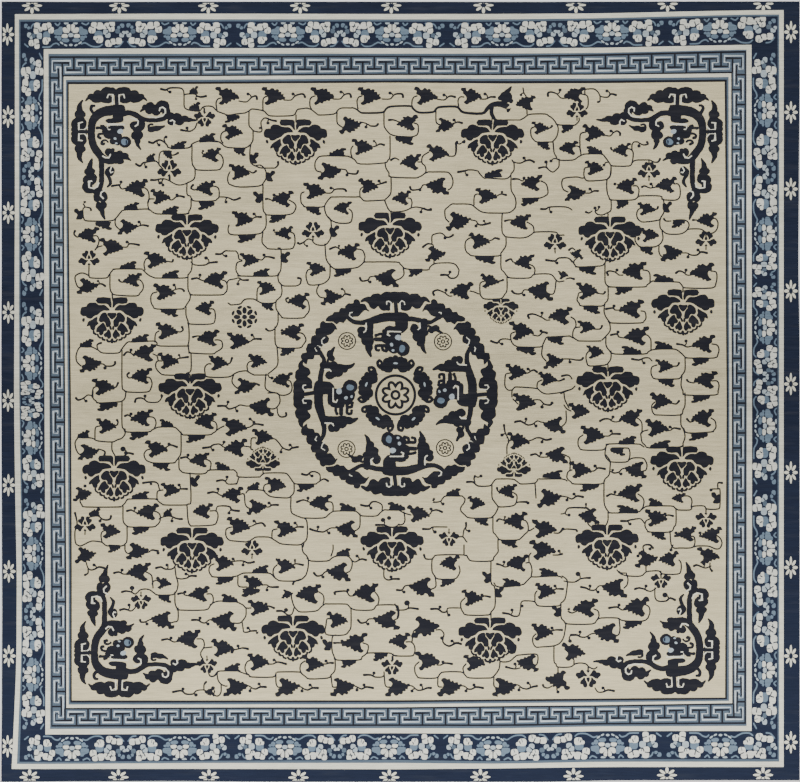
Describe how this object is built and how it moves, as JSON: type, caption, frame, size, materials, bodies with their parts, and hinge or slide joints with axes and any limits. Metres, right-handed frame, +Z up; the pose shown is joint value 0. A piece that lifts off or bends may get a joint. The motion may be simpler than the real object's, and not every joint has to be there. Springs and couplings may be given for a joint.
{
  "type": "chinese rug",
  "caption": "Nearly square knotted wool carpet with a dark blue vine and leaf field, a round medallion and fret, flower and plain borders, lying flat.",
  "frame": {"origin": "middle of the underside, on the floor", "axes": "+Z up out of the pile, +X across the carpet along its rows of knots, +Y up the carpet along its warps"},
  "size_m": [3.5142, 3.4352, 0.0084],
  "materials": {
    "wool_pile": "matt worn wool pile, ivory ground with indigo, light blue and off-white drawing"
  },
  "bodies": {
    "root": {"rug": "wool_pile"}
  },
  "joints": []
}
